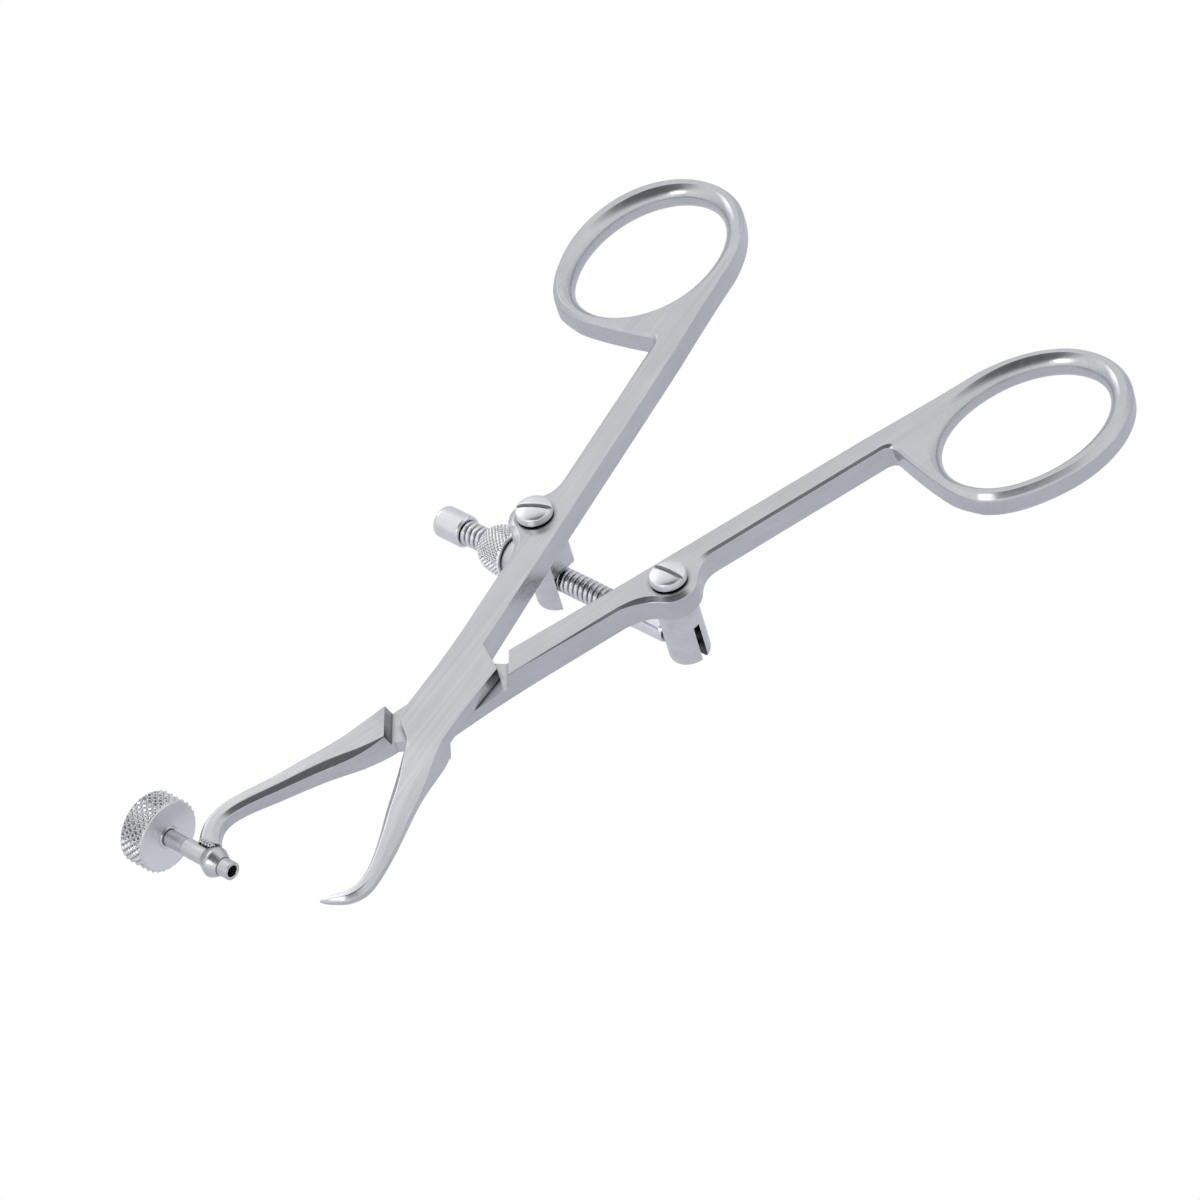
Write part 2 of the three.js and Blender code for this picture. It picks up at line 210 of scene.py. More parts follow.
def boolean(item, other, operation="DIFFERENCE"):
    """Joins or cuts item with other, which is used up."""
    modifier = item.modifiers.new("boolean", "BOOLEAN")
    modifier.object = other
    modifier.operation = operation
    modifier.solver = "MANIFOLD"
    bpy.context.view_layer.update()
    graph = bpy.context.evaluated_depsgraph_get()
    result = bpy.data.meshes.new_from_object(item.evaluated_get(graph))
    item.modifiers.clear()
    item.data = result
    bpy.data.objects.remove(other)
    return item


def block(low, high, matrix=None):
    """A closed box used as a cutter."""
    corners = [(x, y, z) for x in (low[0], high[0]) for y in (low[1], high[1]) for z in (low[2], high[2])]
    faces = [(0, 1, 3, 2), (4, 6, 7, 5), (0, 4, 5, 1), (2, 3, 7, 6), (0, 2, 6, 4), (1, 5, 7, 3)]
    return piece("cutter", corners, faces, matrix)


def place(x, y, z, axis="X"):
    """Stands a turned form, drawn along X, on its axis in the frame."""
    move = Matrix.Translation(Vector((x, y, z)) * MM)
    return move if axis == "X" else move @ Matrix.Rotation(-math.pi / 2, 4, "Y")


def turned(name, profile, matrix, sides=96, relief=None, step=None):
    """A solid of revolution about X from [along, radius] points that start and end on the axis,
    or that close on themselves. relief(along, angle, radius) gives the surface's own radius."""
    hollow = profile[0] == profile[-1]
    path = [tuple(p) for p in (profile[:-1] if hollow else profile)]
    if step:
        fine = []
        for a, b in zip(path, path[1:] + (path[:1] if hollow else [])):
            parts = max(1, round((Vector(b) - Vector(a)).length / step))
            fine += [tuple(Vector(a).lerp(Vector(b), k / parts)) for k in range(parts)]
        path = fine if hollow else fine + [path[-1]]
    points = []
    rows = []
    for along, radius in path:
        if radius < 1e-6:
            rows.append([len(points)] * sides)
            points.append((along, 0, 0))
            continue
        rows.append(list(range(len(points), len(points) + sides)))
        for k in range(sides):
            angle = 2 * math.pi * k / sides
            r = relief(along, angle, radius) if relief else radius
            points.append((along, r * math.cos(angle), r * math.sin(angle)))
    faces = []
    for a, b in zip(rows, rows[1:] + (rows[:1] if hollow else [])):
        for k in range(sides):
            n = (k + 1) % sides
            corners = [a[k], a[n], b[n], b[k]]
            face = [c for i, c in enumerate(corners) if c not in corners[:i]]
            if len(face) > 2:
                faces.append(face)
    return piece(name, points, faces, matrix)


def finish(item, body, slot_name, material, *nodes, sharp=35, bevel=None):
    """Smooths, paints and mounts a finished piece."""
    mesh = item.data
    mesh.materials.clear()
    mesh.materials.append(material)
    mesh.shade_smooth()
    mesh.set_sharp_from_angle(angle=math.radians(sharp))
    if bevel:
        rounding = item.modifiers.new("edges", "BEVEL")
        rounding.width = bevel * MM
        rounding.segments = 2
        rounding.limit_method = "ANGLE"
        rounding.angle_limit = math.radians(40)
    weighted = item.modifiers.new("normals", "WEIGHTED_NORMAL")
    weighted.keep_sharp = True
    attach(item, body)
    if nodes:
        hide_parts(*nodes)
    return item


# ---- node materials ----
# Painted shade: the darker colour given to the lap's shoulder faces, which stand in shade.
SHOULDER_SHADE = (0.33, 0.335, 0.35)
SLIT_SHADOW = (0.04, 0.04, 0.045)
SQUARE_ON = 0.93
LATHE_DENSITY = 5200
MARK_DEPTH = 0.02 * MM


def new_material(name, colour, roughness):
    material = bpy.data.materials.new(name)
    material.use_nodes = True
    tree = material.node_tree
    shader = tree.nodes["Principled BSDF"]
    shader.inputs["Metallic"].default_value = 1.0
    shader.inputs["Base Color"].default_value = (*colour, 1)
    shader.inputs["Roughness"].default_value = roughness
    return material, tree, shader


def node(tree, kind, **values):
    item = tree.nodes.new(kind)
    for key, value in values.items():
        if key in item.inputs:
            item.inputs[key].default_value = value
        else:
            setattr(item, key, value)
    return item


def fed(tree, item, values):
    """Gives a node its inputs in order; each is a number, a vector or another node's output."""
    for value, socket in zip(values, item.inputs):
        if isinstance(value, bpy.types.NodeSocket):
            tree.links.new(value, socket)
        else:
            socket.default_value = value
    return item.outputs


def number(tree, operation, *values):
    return fed(tree, node(tree, "ShaderNodeMath", operation=operation), values)[0]


def vector(tree, operation, output, *values):
    return fed(tree, node(tree, "ShaderNodeVectorMath", operation=operation), values)[output]


def axes(tree, value):
    """The X, Y and Z outputs of a vector."""
    return fed(tree, node(tree, "ShaderNodeSeparateXYZ"), [value])


def ranged(tree, value, low, high):
    """A 0 to 1 value spread over low to high."""
    item = node(tree, "ShaderNodeMapRange")
    item.inputs["From Min"].default_value = 0.25
    item.inputs["From Max"].default_value = 0.75
    item.inputs["To Min"].default_value = low
    item.inputs["To Max"].default_value = high
    tree.links.new(value, item.inputs["Value"])
    return item.outputs["Result"]


def blended(tree, value, dark, light):
    mix = node(tree, "ShaderNodeMix", data_type="RGBA")
    for colour, socket in ((dark, mix.inputs[6]), (light, mix.inputs[7])):
        if isinstance(colour, tuple):
            socket.default_value = (*colour, 1)
        else:
            tree.links.new(colour, socket)
    tree.links.new(value, mix.inputs[0])
    return mix.outputs[2]


def painted_crevice_shade(tree, colour, shader, reach):
    """Takes the colour to the shader, darkened as painted shade where other metal stands close."""
    shade = node(tree, "ShaderNodeAmbientOcclusion", samples=6, Distance=reach)
    tree.links.new(colour, shade.inputs["Color"])
    tree.links.new(shade.outputs["Color"], shader.inputs["Base Color"])


def facing(tree, direction, reach):
    """1 on faces that look along the direction, either way, within reach of the piece's XZ plane."""
    where = node(tree, "ShaderNodeTexCoord").outputs
    turned_to = vector(tree, "DOT_PRODUCT", "Value", where["Normal"], direction)
    squarely = number(tree, "GREATER_THAN", number(tree, "ABSOLUTE", turned_to), SQUARE_ON)
    near = number(tree, "COMPARE", axes(tree, where["Object"])["Y"], 0.0, reach)
    return number(tree, "MULTIPLY", squarely, near)


def raised(tree, value, strength, distance, shader):
    bump = node(tree, "ShaderNodeBump", Strength=strength, Distance=distance)
    tree.links.new(value, bump.inputs["Height"])
    tree.links.new(bump.outputs["Normal"], shader.inputs["Normal"])


def grain(tree, density, detail=3.0, turn=0.0):
    """Noise over the piece's own coordinates, so dense (per metre) along each axis, turned about Z."""
    where = node(tree, "ShaderNodeTexCoord")
    mapping = node(tree, "ShaderNodeMapping", vector_type="TEXTURE", Rotation=(0, 0, turn))
    mapping.inputs["Scale"].default_value = [1 / value for value in density]
    texture = node(tree, "ShaderNodeTexNoise", Scale=1.0, Detail=detail, Roughness=0.6)
    tree.links.new(where.outputs["Object"], mapping.inputs["Vector"])
    tree.links.new(mapping.outputs["Vector"], texture.inputs["Vector"])
    return texture.outputs["Fac"]


def brushed_steel(name, turn):
    """Satin steel with fine brush lines along the arm, which lies at an angle to Y. The lap's shoulder
    faces get a darker colour as painted shade, and the steel is darkened as painted shade where other metal
    stands close.
    """
    dark = (0.50, 0.51, 0.53)
    light = (0.65, 0.66, 0.68)
    material, tree, shader = new_material(name, light, 0.3)
    lines = grain(tree, (2800, 30, 2800), 3.0, turn)
    clouds = grain(tree, (160, 60, 160), 2.0, turn)
    tree.links.new(ranged(tree, lines, 0.17, 0.27), shader.inputs["Roughness"])
    mean = number(tree, "MULTIPLY_ADD", clouds, 0.5, number(tree, "MULTIPLY", lines, 0.5))
    steel = blended(tree, ranged(tree, mean, 0, 1), dark, light)
    # Painted shade on the lap's shoulder faces: faces that look out along a shoulder get the darker colour.
    shoulder_angle = SHOULDER["angle"] - abs(turn)
    outward = (-math.copysign(math.cos(shoulder_angle), turn), math.sin(shoulder_angle), 0)
    shoulders = facing(tree, outward, 16 * MM)
    # Painted shade: the steel is darkened where other metal stands close.
    painted_crevice_shade(tree, blended(tree, shoulders, steel, SHOULDER_SHADE), shader, 0.8 * MM)
    raised(tree, lines, 0.1, 0.00001, shader)
    shader.inputs["Anisotropic"].default_value = 0.6
    along = node(tree, "ShaderNodeVectorTransform", vector_type="VECTOR", convert_from="OBJECT")
    along.convert_to = "WORLD"
    along.inputs[0].default_value = (-math.sin(turn), math.cos(turn), 0)
    surface = node(tree, "ShaderNodeNewGeometry").outputs["Normal"]
    across = vector(tree, "CROSS_PRODUCT", "Vector", surface, along.outputs[0])
    tree.links.new(across, shader.inputs["Tangent"])
    return material


def lathe_marks(tree, scale):
    """Rings round the piece's own X axis, on its rims and on its faces alike."""
    parts = axes(tree, node(tree, "ShaderNodeTexCoord").outputs["Object"])
    flat = fed(tree, node(tree, "ShaderNodeCombineXYZ"), [0.0, parts["Y"], parts["Z"]])[0]
    total = number(tree, "ADD", vector(tree, "LENGTH", "Value", flat), parts["X"])
    texture = node(tree, "ShaderNodeTexNoise", noise_dimensions="1D", Scale=scale, Detail=3.0)
    tree.links.new(total, texture.inputs["W"])
    return texture.outputs["Fac"]


def turned_steel(name, colour, roughness, marks, reach, slit=None):
    """Machined steel with fine turning marks round its axis, painted nearly black as shade on the walls of
    a slit that stand that close to its middle, and darkened as painted shade where other metal stands
    close."""
    material, tree, shader = new_material(name, colour, roughness)
    rings = lathe_marks(tree, LATHE_DENSITY)
    clouds = grain(tree, (400, 400, 400), 2.0)
    tree.links.new(ranged(tree, rings, 0.75 * roughness, 1.25 * roughness), shader.inputs["Roughness"])
    darker = tuple(0.86 * c for c in colour)
    steel = blended(tree, ranged(tree, clouds, 0, 1), darker, colour)
    if slit:
        # Painted shade: the slit's walls are coloured nearly black.
        steel = blended(tree, facing(tree, (0, 1, 0), slit), steel, SLIT_SHADOW)
    # Painted shade: darkened where other metal stands close.
    painted_crevice_shade(tree, steel, shader, reach)
    raised(tree, rings, marks, MARK_DEPTH, shader)
    return material


def knurled_steel(name, valley, tip):
    """Rolled diamonds: tips in their own colour over darker, duller valleys, the darker colour painted as
    shade by how closed in each place is.
    """
    material, tree, shader = new_material(name, tip, 0.3)
    # Painted shade: the knurl's hollows get the valley colour, and the whole is darkened again where other
    # metal stands close.
    hollow = node(tree, "ShaderNodeAmbientOcclusion", samples=8)
    hollow.inputs["Distance"].default_value = 0.0005
    unshaded_share = ranged(tree, hollow.outputs["AO"], 0, 1)
    rim = blended(tree, unshaded_share, valley, tip)
    normal = axes(tree, node(tree, "ShaderNodeTexCoord").outputs["Normal"])
    face = number(tree, "GREATER_THAN", number(tree, "ABSOLUTE", normal["X"]), 0.97)
    painted_crevice_shade(tree, blended(tree, face, rim, (0.8, 0.81, 0.83)), shader, 0.3 * MM)
    rough = number(tree, "MULTIPLY_ADD", face, 0.22, ranged(tree, hollow.outputs["AO"], 0.4, 0.24))
    tree.links.new(rough, shader.inputs["Roughness"])
    raised(tree, lathe_marks(tree, LATHE_DENSITY), 0.12, MARK_DEPTH, shader)
    return material


GUIDE_BRUSHED = brushed_steel("brushed_guide_arm", -HALF_OPENING)
POINT_BRUSHED = brushed_steel("brushed_point_arm", HALF_OPENING)
TURNED = turned_steel("turned_steel", (0.68, 0.69, 0.71), 0.26, 0.12, 0.0012)
POLISHED = turned_steel("polished_steel", (0.84, 0.85, 0.87), 0.14, 0.05, 0.0007)
SCREW = turned_steel("screw_steel", (0.86, 0.87, 0.89), 0.4, 0.05, 0.0007)
TUBE_STEEL = turned_steel("tube_steel", (0.64, 0.65, 0.67), 0.28, 0.12, 0.0004)
SHADED_SLIT_STEEL = turned_steel("slit_shaded_steel", (0.72, 0.73, 0.75), 0.26, 0.12, 0.0012, 0.0008)
KNOB_STEEL = knurled_steel("knob_steel", (0.3, 0.31, 0.33), (0.7, 0.71, 0.73))
NUT_STEEL = knurled_steel("nut_steel", (0.55, 0.56, 0.58), (1.0, 1.0, 1.0))


# ---- arms, drawn in the closed position ----
def jaw_rails(jaw):
    """The inner and outer edge of a jaw, and its width and half height, from root to tip."""
    path = catmull(jaw, 5)
    inner = []
    outer = []
    for i, (x, y, width, _) in enumerate(path):
        ahead = path[min(i + 1, len(path) - 1)]
        behind = path[max(i - 1, 0)]
        along = Vector((ahead[0] - behind[0], ahead[1] - behind[1])).normalized()
        across = Vector((-along.y, along.x)) * width / 2
        inner.append((x + across.x, y + across.y))
        outer.append((x - across.x, y - across.y))
    return inner, outer, path


def shank_outline():
    """The arm's edge from the jaw's inner side, round the finger ring, to the jaw's outer side."""
    on_boss = [arc(BOSS["x"], BOSS["y"], BOSS["radius"], a, a, 1)[0] for a in (-1.01, 0.95)]
    edge = bend((0.3, -11.2), (0.7, -10.3), (2.3, -8.95), 6)[1:]
    edge += softened([(2.3, -8.95), (4.4, -7.1), (4.4, 4), (4.7, 11), (6.2, 27.5)], 0.7)[1:]
    edge += bend(edge[-1], (7.1, 31), on_boss[0])[1:]
    edge += arc(BOSS["x"], BOSS["y"], BOSS["radius"], -1.01, 0.95, 20)[1:]
    edge += bend(edge[-1], (7.1, 41.6), (7.2, 44.5))[1:]
    low = ring_edge(1, 0, math.radians(-58), math.radians(174), 80)
    edge += bend((9.48, 74.2), (9.55, 76.15), (11.2, 76.1), 8)
    foot = catmull([(11.2, 76.1), (15, 75.9), (20, 75.85), (24, 76.05), (26.6, 76.65), low[0], low[2]], 4)
    edge += [tuple(p) for p in foot[1:-4]]
    edge += low[1:]
    edge += bend(low[-1], (6.95, 86.4), (5.6, 74.5), 10)[1:]
    edge += softened([(5.2, 72), (2.1, 32), (0.15, 10.15)], 0.5)[1:-1]
    crossing = [(2.1, 32), (0.15, 10.15), (-4.7, 6.35), (-4.5, -2), (-4.7, -9), (-4.9, -10.6)]
    edge += softened(crossing, 0.12)[1:-1]
    return edge


def rise(value, low, high):
    """A smooth step from 0 at low to 1 at high."""
    t = min(1.0, max(0.0, (value - low) / (high - low)))
    return t * t * (3 - 2 * t)


def mixed(first, second, share):
    return tuple(a + (b - a) * share for a, b in zip(first, second))


def shank_bevel(x, y):
    """The bevel of the arm's edge at a place on its outline."""
    bevel = mixed(HANDLE_BEVEL, CROSSING_BEVEL, 1 - rise(abs(y), 11, 15))
    from_boss = math.hypot(x - BOSS["x"], y - BOSS["y"])
    bevel = mixed(bevel, BOSS_BEVEL, rise(x, 4, 6) * (1 - rise(from_boss, 5, 9)))
    return mixed(bevel, RING_BEVEL, rise(x, 7.5, 12) * rise(y, 74.5, 77.5))


def edge_profile(half, bevel, soft, cap):
    """The side of the arm from its lower face to its upper face, as [inset, height] points."""
    inset, drop = bevel
    corners = [(cap, -half), (inset, -half), (0, drop - half), (0, half - drop), (inset, half), (cap, half)]
    return softened(corners, soft, 3)


def shaped_outline(jaw, style):
    """Outline points of a whole arm with the profile that each one has."""
    inner, outer, path = jaw_rails(jaw)
    root = CROSSING_BEVEL
    jaw_sides = {}
    for side in ("inner", "outer"):
        share_w, share_h = style[side]
        profiles = []
        for i, (_, _, width, half) in enumerate(path):
            t = rise(i, 0, 9)
            bevel = mixed(root, (share_w * width, share_h * half, style["soft"]), t)
            profiles.append(edge_profile(half, bevel[:2], bevel[2], bevel[0] + 0.12 * width))
        jaw_sides[side] = profiles
    shank = shank_outline()
    plate = []
    for x, y in shank:
        inset, drop, soft = shank_bevel(x, y)
        plate.append(edge_profile(ARM_HALF, (inset, drop), soft, inset + 0.12))
    points = inner[::-1] + shank + outer
    profiles = jaw_sides["inner"][::-1] + plate + jaw_sides["outer"]
    return points, profiles, len(inner)


def outline_normals(points):
    """Outward mitre vectors of an outline that runs with its inside on the left."""
    normals = []
    for i, point in enumerate(points):
        here = Vector(point)
        before = (here - Vector(points[i - 1])).normalized() if i else None
        after = (Vector(points[i + 1]) - here).normalized() if i + 1 < len(points) else None
        before = before or after
        after = after or before
        mean = (before + after).normalized()
        normals.append(Vector((mean.y, -mean.x)) / max(0.5, mean.dot(before)))
    return normals


def arm_body(name, jaw, style, matrix):
    """The forged arm: walls round its outline and round the finger hole, and two flat faces."""
    outline, profiles, jaw_count = shaped_outline(jaw, style)
    normals = outline_normals(outline)
    levels = len(profiles[0])
    points = []
    for (x, y), normal, profile in zip(outline, normals, profiles):
        points += [(x - normal.x * inset, y - normal.y * inset, z) for inset, z in profile]
    faces = []
    for i in range(len(outline) - 1):
        for k in range(levels - 1):
            a = i * levels + k
            faces.append((a, a + levels, a + levels + 1, a + 1))

    # the finger hole, rounded from face to face
    steps = 9
    turn = HOLE_ROUNDING["turn"]
    hole_profile = []
    for i in range(-steps, steps + 1):
        a = turn * i / steps
        inset = HOLE_ROUNDING["inset"] * (1 - math.cos(a)) / (1 - math.cos(turn))
        hole_profile.append((inset, HOLE_ROUNDING["drop"] * math.sin(a) / math.sin(turn)))
    hole_start = len(points)
    around = 112
    for z_level in hole_profile:
        loop = ring_edge(2, z_level[0], -math.pi, math.pi, around)[:-1]
        points += [(x, y, z_level[1]) for x, y in loop]
    for k in range(len(hole_profile) - 1):
        for i in range(around):
            n = (i + 1) % around
            a = hole_start + k * around
            faces.append((a + i, a + n, a + around + n, a + around + i))

    # the flat faces: quads across the jaw, then the plate with its hole
    last = len(outline) - 1
    for level, hole_row in ((0, 0), (levels - 1, len(hole_profile) - 1)):
        for i in range(jaw_count - 1):
            a, b = i * levels + level, (i + 1) * levels + level
            c, d = (last - i - 1) * levels + level, (last - i) * levels + level
            faces.append((a, b, c, d))
        plate = [i * levels + level for i in range(jaw_count - 1, last - jaw_count + 2)]
        hole = [hole_start + hole_row * around + i for i in range(around)]
        loops = [[Vector(points[i][:2]).to_3d() for i in loop] for loop in (plate, hole)]
        index = plate + hole
        faces += [tuple(index[i] for i in triangle) for triangle in tessellate_polygon(loops)]
    tip = list(range(levels)) + [last * levels + k for k in range(levels - 1, -1, -1)]
    faces.append(tip)
    return piece(name, points, faces, matrix)


def recess_cutter(matrix):
    """The strip that frees the other arm's lap half, with slanting shoulders."""
    jaw_floor, jaw_mouth = SHOULDER["jaw"]
    floor, mouth = SHOULDER["handle"]
    top = ARM_HALF + 1
    slope = top / ARM_HALF
    section = [
        (-jaw_floor, -SHOULDER["gap"]), (floor, -SHOULDER["gap"]),
        (floor + (mouth - floor) * slope, top), (-jaw_floor - (jaw_mouth - jaw_floor) * slope, top),
    ]
    points = [(x, y, z) for y in (-20, 20) for x, z in section]
    faces = [(0, 1, 2, 3), (7, 6, 5, 4)]
    faces += [(i, 4 + i, 4 + (i + 1) % 4, (i + 1) % 4) for i in range(4)]
    return piece("cutter", points, faces, matrix @ Matrix.Rotation(SHOULDER["angle"], 4, "Z"))


def rod_cutter(radius, start, end, matrix, sides=48):
    return turned("cutter", [(start, 0), (start, radius), (end, radius), (end, 0)], matrix, sides)


def forged_arm(name, jaw, style, turn):
    arm = arm_body(name, jaw, style, turn)
    boolean(arm, recess_cutter(turn))
    upright = Matrix.Rotation(-math.pi / 2, 4, "Y")
    boss = turn @ Matrix.Translation(Vector((BOSS["x"], BOSS["y"], 0)) * MM) @ upright
    boolean(arm, rod_cutter(SWIVEL["bore"], -5, 5, boss))
    return arm


def baked(item):
    """Moves an object's place into its mesh, so that its box is the true one."""
    item.data.transform(item.matrix_world)
    item.matrix_world = Matrix.Identity(4)
    return item


def point_arm():
    turn = Matrix.Rotation(math.pi, 4, "Y") @ Matrix.Rotation(-HALF_OPENING, 4, "Z")
    arm = forged_arm("point_arm_forging", POINT_JAW, POINT_STYLE, turn)
    top = span("joint_rivet")[1].z
    boolean(arm, rod_cutter(2.1, -1, top + 0.1, place(0, 0, 0, "Z")))
    return finish(baked(arm), "point_side", "forged_arm", POINT_BRUSHED, "point_arm", sharp=28)


def guide_arm():
    turn = Matrix.Rotation(-HALF_OPENING, 4, "Z")
    arm = forged_arm("guide_arm_forging", GUIDE_JAW, GUIDE_STYLE, turn)
    rivet = span("joint_rivet")[1].z
    head = [(-4, 0), (-4, 2.8), (-ARM_HALF, 2.8), (0.7 - ARM_HALF, 2.1), (rivet, 2.1), (rivet, 0)]
    boolean(arm, turned("cutter", head, place(0, 0, 0, "Z"), 64))
    boolean(arm, rod_cutter(1.47, -20, 0, place(0, GUIDE_Y, 0)))
    return finish(baked(arm), "guide_side", "forged_arm", GUIDE_BRUSHED, "guide_arm", sharp=28)


def braze_bead():
    """The lumpy run of braze where the guide jaw's end meets the tube."""
    left = span("guide_bush")[0].x
    start, end, pitch = -2.4, 0.45, 0.62

    def lumps(along, angle, radius):
        return radius * (0.62 + 0.38 * abs(math.sin(math.pi * along / pitch)))

    profile = softened([(start, 0), (start, 0.42), (end, 0.5), (end, 0)], 0.2)
    bead = turned("braze_bead", profile, place(left, GUIDE_Y + 1.3, 1.3), 24, lumps, 0.08)
    return finish(bead, "guide_side", "forged_arm", TUBE_STEEL)


def joint_rivet():
    low, high = span("joint_rivet")
    head = half_size("joint_rivet").x
    profile = softened([(low.z, 0), (low.z, head), (low.z + 0.7, 2), (high.z, 2), (high.z, 0)], 0.08)
    rivet = turned("joint_rivet_pin", profile, place(0, 0, 0, "Z"))
    return finish(rivet, "point_side", "forged_arm", TURNED, "joint_rivet")


# ---- swivelling pieces under the handles ----
def swivel_body(name, node_name, radius, rounding):
    """Neck and barrel on a vertical axis, with a threaded hole for the screw."""
    at = centre("%s_screw" % node_name)
    low, high = span(node_name)
    neck = SWIVEL["neck"]
    shoulder = -ARM_HALF - SWIVEL["gap"]
    foot = bend((low.z, radius - rounding), (low.z, radius), (low.z + rounding, radius))
    profile = [(shoulder, radius), (shoulder, neck), (high.z, neck), (high.z, 0)]
    profile = [(low.z, 0)] + foot + softened([foot[-1]] + profile, 0.12)[1:]
    body = turned(name, profile, place(at.x, at.y, 0, "Z"))
    hole = rod_cutter(SWIVEL["screw"] + 0.1, -ARM_HALF - 3.3, 5, place(at.x, at.y, 0, "Z"))
    return boolean(body, hole), at, low


def lock_block():
    body, at, low = swivel_body("lock_block_body", "lock_block", BLOCK["radius"], 0.3)
    flat = BLOCK["flat"]
    reach = THREAD["radius"] + 0.3
    bottom = low.z - 1
    top = -ARM_HALF - 1
    here = Matrix.Translation(Vector((at.x, at.y, 0)) * MM)
    boolean(body, block((flat, -PAST, bottom), (PAST, PAST, top), here))
    boolean(body, block((-PAST, -PAST, bottom), (-flat, PAST, top), here))
    boolean(body, block((-PAST, -reach, bottom), (PAST, PAST, SPINDLE_Z + reach), here))
    return finish(body, "block", "turned_steel", TURNED, "lock_block", bevel=0.1)


def spindle_post():
    body, at, low = swivel_body("spindle_post_body", "spindle_post", half_size("spindle_post").x, 0.8)
    here = Matrix.Translation(Vector((at.x, at.y, 0)) * MM)
    boolean(body, block((-PAST, -SLIT["half"], low.z - 1), (PAST, SLIT["half"], SLIT["top"]), here))
    pin = here @ Matrix.Translation((0, 0, SPINDLE_Z * MM)) @ Matrix.Rotation(math.pi / 2, 4, "Z")
    boolean(body, rod_cutter(SLIT["pin_hole"], -PAST, PAST, pin, 48))
    return finish(body, "post", "turned_steel", SHADED_SLIT_STEEL, "spindle_post", bevel=0.08)


def swivel_screw(node_name, body_name):
    """A domed cheese head with a sawn slot."""
    low, high = span(node_name)
    at = centre(node_name)
    radius = half_size(node_name).x
    seat = SCREW_HEAD["seat"]
    rim = seat + SCREW_HEAD["rim"]
    quarter = [math.pi / 2 * i / 14 for i in range(15)]
    dome = [(rim + (high.z - rim) * math.sin(a), radius * math.cos(a)) for a in quarter]
    dome[-1] = (high.z, 0)
    shank = SWIVEL["screw"]
    corners = [(low.z, 0), (low.z, shank), (seat, shank), (seat, radius - 0.12), (seat + 0.12, radius)]
    profile = softened(corners, 0.04)
    screw = turned(node_name + "_turned", profile + dome, place(at.x, at.y, 0, "Z"))
    half = SCREW_HEAD["slot"] / 2
    slot_matrix = Matrix.Translation(Vector((at.x, at.y, 0)) * MM)
    slot_matrix = slot_matrix @ Matrix.Rotation(SLOT_ANGLES[node_name], 4, "Z")
    bottom = high.z - SCREW_HEAD["slot_depth"]
    boolean(screw, block((-PAST, -half, bottom), (PAST, half, high.z + 1), slot_matrix))
    return finish(screw, body_name, "polished_steel", SCREW, node_name, bevel=0.05)


def cross_pin():
    at = centre("spindle_cross_pin")
    radius = half_size("spindle_cross_pin").x
    post = half_size("spindle_post").x
    matrix = place(at.x, at.y, at.z) @ Matrix.Rotation(math.pi / 2, 4, "Z")
    profile = [(-post, 0), (-post, radius), (post, radius), (post, 0)]
    pin = turned("spindle_cross_pin_turned", profile, matrix, 48)
    boolean(pin, rod_cutter(post - 0.01, -20, 0, place(at.x, at.y, 0, "Z"), 96), "INTERSECT")
    return finish(pin, "post", "turned_steel", TURNED, "spindle_cross_pin")


# ---- spindle lock ----
def thread_relief(start, end):
    """A right-hand thread on the rod between two places along it."""
    def relief(along, angle, radius):
        if not start <= along <= end:
            return radius
        turn = along / THREAD["pitch"] - angle / (2 * math.pi)
        ridge = abs(2 * (turn - math.floor(turn)) - 1)
        height = math.sin(math.pi / 2 * min(1.0, max(0.0, (ridge - 0.12) / 0.5)))
        fade = min(1.0, (along - start) / 0.2, (end - along) / 0.6)
        return radius - THREAD["depth"] * (1 - height) * max(0.0, fade)
    return relief


def threaded_spindle():
    low, high = span("threaded_spindle")
    pin = centre("spindle_cross_pin").x
    cap = span("spindle_end_cap")[1].x + 0.1 - pin
    shoulder = TONGUE["shoulder"]
    radius = THREAD["radius"]
    profile = [(low.x - pin, 0), (low.x - pin, 1.2), (cap, 1.2), (cap, radius - 0.1), (cap + 0.1, radius),
               (shoulder - 0.5, radius), (shoulder, 1.75), (shoulder, 0)]
    matrix = place(pin, SWIVEL_Y, SPINDLE_Z)
    relief = thread_relief(cap + 0.1, shoulder - THREAD["shank"])
    spindle = turned("threaded_spindle_rod", profile, matrix, 72, relief, 0.07)
    edge = arc(0, 0, high.x - pin, -math.pi / 2, math.pi / 2, 24)
    edge = [(shoulder - 1, edge[0][1])] + edge + [(shoulder - 1, edge[-1][1])]
    count = len(edge)
    points = [(x, y, z) for y in (-TONGUE["half"], TONGUE["half"]) for x, z in edge]
    faces = [tuple(range(count)), tuple(range(count, 2 * count))]
    faces += [(i, (i + 1) % count, count + (i + 1) % count, count + i) for i in range(count)]
    boolean(spindle, piece("tongue", points, faces, matrix), "UNION")
    eye = matrix @ Matrix.Rotation(math.pi / 2, 4, "Z")
    boolean(spindle, rod_cutter(TONGUE["eye"], -2, 2, eye, 32))
    return finish(spindle, "spindle", "polished_steel", POLISHED, "threaded_spindle")


def end_cap():
    low, high = span("spindle_end_cap")
    radius = half_size("spindle_end_cap").z
    stud = span("threaded_spindle")[0].x
    tip = bend((low.x, radius - 0.75), (low.x + 0.05, radius - 0.05), (low.x + 0.75, radius), 8)
    profile = [(low.x, 0)] + tip + softened(
        [(high.x - 1, radius), (high.x - 0.25, radius), (high.x, radius - 0.25), (high.x, 1.3),
         (stud - 0.1, 1.3), (stud - 0.1, 0)], 0.1)[1:]
    profile = [(along - high.x, r) for along, r in profile]
    cap = turned("spindle_end_cap_turned", profile, place(high.x, SWIVEL_Y, SPINDLE_Z))
    return finish(cap, "spindle", "polished_steel", POLISHED, "spindle_end_cap")


